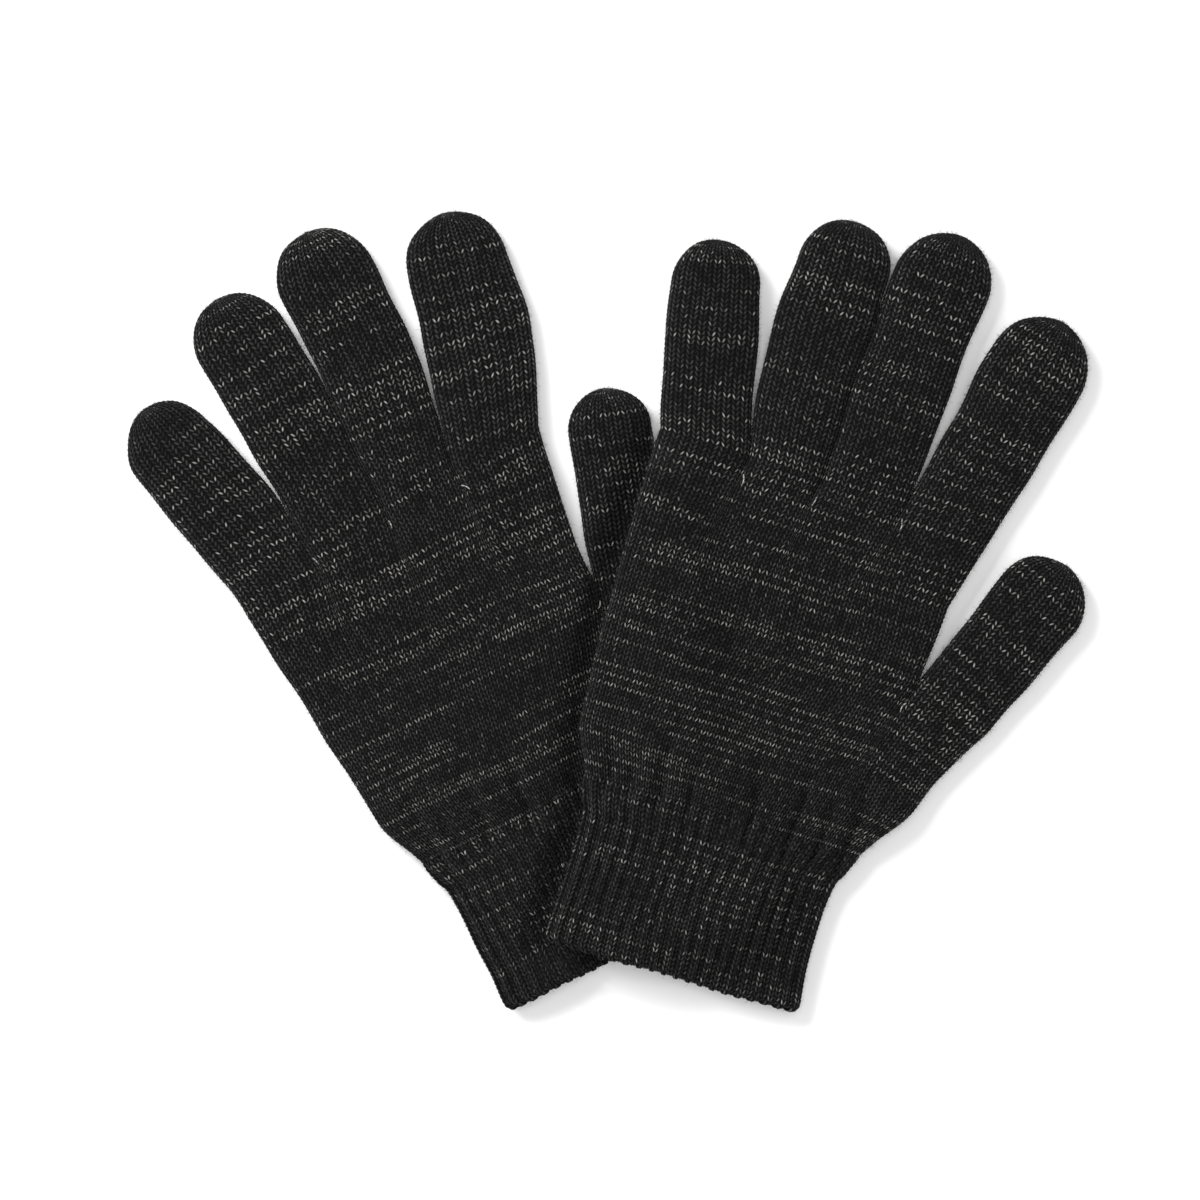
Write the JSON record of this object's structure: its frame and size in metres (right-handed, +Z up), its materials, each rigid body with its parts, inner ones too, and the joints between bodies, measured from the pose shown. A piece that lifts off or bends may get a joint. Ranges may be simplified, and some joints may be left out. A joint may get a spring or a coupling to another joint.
{
  "type": "touchscreen gloves",
  "caption": "Pair of fine-knit stretch gloves with ribbed cuffs, lying flat with one partly over the other; every finger and thumb folds at knuckle and middle joint.",
  "frame": {"origin": "centre of the pair's footprint, on the surface it lies on", "axes": "+Z up from the table; +Y towards the fingertips; +X towards the glove that lies on top, on the thumb side of both gloves"},
  "size_m": [0.2737, 0.2283, 0.0199],
  "materials": {
    "plain_knit": "fine single-jersey knit, black yarn with random grey stitches, which stand for space-dyed or conductive yarn, soft fuzz",
    "rib_knit": "fine rib knit, black yarn with random grey stitches, overlocked edge",
    "elastic_thread": "matt covered elastic thread"
  },
  "bodies": {
    "left_palm": {"left_finger_trunk": "plain_knit", "left_thumb_trunk": "plain_knit", "left_wrist_gather": "plain_knit"},
    "right_palm": {"right_finger_trunk": "plain_knit", "right_thumb_trunk": "plain_knit", "right_wrist_gather": "plain_knit"},
    "left_wrist": {"left_cuff": "rib_knit", "left_cuff_hem": "rib_knit", "left_cuff_elastic": "elastic_thread"},
    "left_little_base": {"left_little_knuckle": "plain_knit", "left_little_base": "plain_knit"},
    "left_little_tip": {"left_little_joint": "plain_knit", "left_little_tip": "plain_knit"},
    "left_ring_base": {"left_ring_knuckle": "plain_knit", "left_ring_base": "plain_knit"},
    "left_ring_tip": {"left_ring_joint": "plain_knit", "left_ring_tip": "plain_knit"},
    "left_middle_base": {"left_middle_knuckle": "plain_knit", "left_middle_base": "plain_knit"},
    "left_middle_tip": {"left_middle_joint": "plain_knit", "left_middle_tip": "plain_knit"},
    "left_index_base": {"left_index_knuckle": "plain_knit", "left_index_base": "plain_knit"},
    "left_index_tip": {"left_index_joint": "plain_knit", "left_index_tip": "plain_knit"},
    "left_thumb_base": {"left_thumb_knuckle": "plain_knit", "left_thumb_base": "plain_knit"},
    "left_thumb_tip": {"left_thumb_joint": "plain_knit", "left_thumb_tip": "plain_knit"},
    "right_wrist": {"right_cuff": "rib_knit", "right_cuff_hem": "rib_knit", "right_cuff_elastic": "elastic_thread"},
    "right_little_base": {"right_little_knuckle": "plain_knit", "right_little_base": "plain_knit"},
    "right_little_tip": {"right_little_joint": "plain_knit", "right_little_tip": "plain_knit"},
    "right_ring_base": {"right_ring_knuckle": "plain_knit", "right_ring_base": "plain_knit"},
    "right_ring_tip": {"right_ring_joint": "plain_knit", "right_ring_tip": "plain_knit"},
    "right_middle_base": {"right_middle_knuckle": "plain_knit", "right_middle_base": "plain_knit"},
    "right_middle_tip": {"right_middle_joint": "plain_knit", "right_middle_tip": "plain_knit"},
    "right_index_base": {"right_index_knuckle": "plain_knit", "right_index_base": "plain_knit"},
    "right_index_tip": {"right_index_joint": "plain_knit", "right_index_tip": "plain_knit"},
    "right_thumb_base": {"right_thumb_knuckle": "plain_knit", "right_thumb_base": "plain_knit"},
    "right_thumb_tip": {"right_thumb_joint": "plain_knit", "right_thumb_tip": "plain_knit"}
  },
  "joints": [
    {"name": "right_glove_lift", "type": "slide", "parent": "left_palm", "child": "right_palm", "axis": [0, 0, 1], "range_m": [0, 0.08]},
    {"name": "left_wrist_bend", "type": "hinge", "parent": "left_palm", "child": "left_wrist", "pos_m": [-0.01443, -0.05725, 0.0048], "axis": [0.8988, 0.4384, 0], "range_deg": [0, 45], "deforming": ["left_wrist_gather"]},
    {"name": "left_little_knuckle_bend", "type": "hinge", "parent": "left_palm", "child": "left_little_base", "pos_m": [-0.09834, 0.01419, 0.0048], "axis": [-0.8988, -0.4384, 0], "range_deg": [0, 90], "deforming": ["left_little_knuckle"]},
    {"name": "left_little_middle_bend", "type": "hinge", "parent": "left_little_base", "child": "left_little_tip", "pos_m": [-0.11422, 0.03426, 0.0048], "axis": [-0.8988, -0.4384, 0], "range_deg": [0, 90], "deforming": ["left_little_joint"]},
    {"name": "left_ring_knuckle_bend", "type": "hinge", "parent": "left_palm", "child": "left_ring_base", "pos_m": [-0.07537, 0.02539, 0.0048], "axis": [-0.8988, -0.4384, 0], "range_deg": [0, 90], "deforming": ["left_ring_knuckle"]},
    {"name": "left_ring_middle_bend", "type": "hinge", "parent": "left_ring_base", "child": "left_ring_tip", "pos_m": [-0.09239, 0.05604, 0.0048], "axis": [-0.8988, -0.4384, 0], "range_deg": [0, 90], "deforming": ["left_ring_joint"]},
    {"name": "left_middle_knuckle_bend", "type": "hinge", "parent": "left_palm", "child": "left_middle_base", "pos_m": [-0.05434, 0.03565, 0.0048], "axis": [-0.8988, -0.4384, 0], "range_deg": [0, 90], "deforming": ["left_middle_knuckle"]},
    {"name": "left_middle_middle_bend", "type": "hinge", "parent": "left_middle_base", "child": "left_middle_tip", "pos_m": [-0.0695, 0.07054, 0.0048], "axis": [-0.8988, -0.4384, 0], "range_deg": [0, 90], "deforming": ["left_middle_joint"]},
    {"name": "left_index_knuckle_bend", "type": "hinge", "parent": "left_palm", "child": "left_index_base", "pos_m": [-0.03174, 0.04668, 0.0048], "axis": [-0.8988, -0.4384, 0], "range_deg": [0, 90], "deforming": ["left_index_knuckle"]},
    {"name": "left_index_middle_bend", "type": "hinge", "parent": "left_index_base", "child": "left_index_tip", "pos_m": [-0.03852, 0.07897, 0.0048], "axis": [-0.8988, -0.4384, 0], "range_deg": [0, 90], "deforming": ["left_index_joint"]},
    {"name": "left_thumb_knuckle_bend", "type": "hinge", "parent": "left_palm", "child": "left_thumb_base", "pos_m": [0.00767, 0.01045, 0.0048], "axis": [-0.9854, -0.1702, 0], "range_deg": [0, 60], "deforming": ["left_thumb_knuckle"]},
    {"name": "left_thumb_middle_bend", "type": "hinge", "parent": "left_thumb_base", "child": "left_thumb_tip", "pos_m": [0.00427, 0.03016, 0.0048], "axis": [-0.9854, -0.1702, 0], "range_deg": [0, 75], "deforming": ["left_thumb_joint"]},
    {"name": "right_wrist_bend", "type": "hinge", "parent": "right_palm", "child": "right_wrist", "pos_m": [0.03126, -0.06067, 0.012], "axis": [-0.9563, 0.2924, 0], "range_deg": [0, 45], "deforming": ["right_wrist_gather"]},
    {"name": "right_little_knuckle_bend", "type": "hinge", "parent": "right_palm", "child": "right_little_base", "pos_m": [0.02752, 0.04818, 0.0048], "axis": [0.9563, -0.2924, 0], "range_deg": [0, 70], "deforming": ["right_little_knuckle"]},
    {"name": "right_little_middle_bend", "type": "hinge", "parent": "right_little_base", "child": "right_little_tip", "pos_m": [0.02964, 0.07577, 0.0048], "axis": [0.9563, -0.2924, 0], "range_deg": [0, 90], "deforming": ["right_little_joint"]},
    {"name": "right_ring_knuckle_bend", "type": "hinge", "parent": "right_palm", "child": "right_ring_base", "pos_m": [0.05066, 0.04111, 0.0048], "axis": [0.9563, -0.2924, 0], "range_deg": [0, 90], "deforming": ["right_ring_knuckle"]},
    {"name": "right_ring_middle_bend", "type": "hinge", "parent": "right_ring_base", "child": "right_ring_tip", "pos_m": [0.06044, 0.07472, 0.0048], "axis": [0.9563, -0.2924, 0], "range_deg": [0, 90], "deforming": ["right_ring_joint"]},
    {"name": "right_middle_knuckle_bend", "type": "hinge", "parent": "right_palm", "child": "right_middle_base", "pos_m": [0.07309, 0.03425, 0.0048], "axis": [0.9563, -0.2924, 0], "range_deg": [0, 90], "deforming": ["right_middle_knuckle"]},
    {"name": "right_middle_middle_bend", "type": "hinge", "parent": "right_middle_base", "child": "right_middle_tip", "pos_m": [0.0863, 0.06995, 0.0048], "axis": [0.9563, -0.2924, 0], "range_deg": [0, 90], "deforming": ["right_middle_joint"]},
    {"name": "right_index_knuckle_bend", "type": "hinge", "parent": "right_palm", "child": "right_index_base", "pos_m": [0.09814, 0.02659, 0.0048], "axis": [0.9563, -0.2924, 0], "range_deg": [0, 90], "deforming": ["right_index_knuckle"]},
    {"name": "right_index_middle_bend", "type": "hinge", "parent": "right_index_base", "child": "right_index_tip", "pos_m": [0.11392, 0.05418, 0.0048], "axis": [0.9563, -0.2924, 0], "range_deg": [0, 90], "deforming": ["right_index_joint"]},
    {"name": "right_thumb_knuckle_bend", "type": "hinge", "parent": "right_palm", "child": "right_thumb_base", "pos_m": [0.09704, -0.02875, 0.0048], "axis": [0.7727, -0.6347, 0], "range_deg": [0, 60], "deforming": ["right_thumb_knuckle"]},
    {"name": "right_thumb_middle_bend", "type": "hinge", "parent": "right_thumb_base", "child": "right_thumb_tip", "pos_m": [0.10973, -0.0133, 0.0048], "axis": [0.7727, -0.6347, 0], "range_deg": [0, 75], "deforming": ["right_thumb_joint"]}
  ]
}
